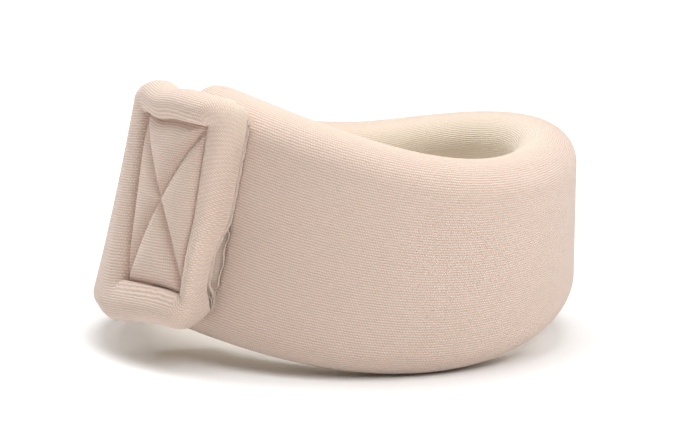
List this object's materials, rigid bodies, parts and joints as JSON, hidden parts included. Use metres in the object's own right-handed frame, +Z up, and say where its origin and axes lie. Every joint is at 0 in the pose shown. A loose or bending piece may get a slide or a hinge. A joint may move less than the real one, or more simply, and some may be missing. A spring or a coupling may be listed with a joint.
{
  "type": "soft cervical collar",
  "caption": "Soft foam neck collar in a knitted cover, closed into a ring by a sewn-on hook tab that laps over the outside and peels open.",
  "frame": {"origin": "middle of the collar's footprint, on the surface that it rests on", "axes": "+Z up the ring's height, +X towards the low chin end, -Y towards the side that the closure tab faces; the lapped closure is near -X and -Y"},
  "size_m": [0.193, 0.178, 0.1078],
  "materials": {
    "foam": "open-cell polyurethane foam",
    "knit_cover": "beige tubular stockinette knit, matt",
    "cover_seam": "turned-in and stitched knit end",
    "tape": "woven nylon backing",
    "hook_pile": "nylon hooks",
    "loop_pile": "brushed nylon loops",
    "thread": "spun polyester thread"
  },
  "bodies": {
    "chin_section": {"foam_chin": "foam", "cover_chin": "knit_cover"},
    "near_arm": {"foam_near_arm": "foam", "cover_near_arm": "knit_cover", "under_end_seam": "cover_seam", "loop_tape_backing": "tape", "loop_pile": "loop_pile", "loop_tape_stitching": "thread"},
    "far_arm": {"foam_far_arm": "foam", "cover_far_arm": "knit_cover"},
    "closure_tab": {"foam_tab": "foam", "cover_tab": "knit_cover", "tab_end_seam": "cover_seam", "hook_tape_backing": "tape", "hook_pile": "hook_pile", "tab_box_stitching": "thread", "tab_cross_stitching": "thread"}
  },
  "joints": [
    {"name": "tab_peel", "type": "hinge", "parent": "far_arm", "child": "closure_tab", "pos_m": [-0.08035, 0.02135, 0.05256], "axis": [-0.324, -0.001, -0.946], "range_deg": [0, 110]},
    {"name": "far_arm_spread", "type": "hinge", "parent": "chin_section", "child": "far_arm", "pos_m": [0.08361, 0.03899, 0.05225], "axis": [0.1625, 0.0291, -0.9863], "range_deg": [0, 45]},
    {"name": "near_arm_spread", "type": "hinge", "parent": "chin_section", "child": "near_arm", "pos_m": [0.08384, -0.04747, 0.04257], "axis": [0.0065, -0.1591, 0.9872], "range_deg": [0, 45]}
  ],
  "couplings": [
    {"joint": "far_arm_spread", "follows": "tab_peel", "ratio": 0.4},
    {"joint": "near_arm_spread", "follows": "tab_peel", "ratio": 0.4}
  ]
}
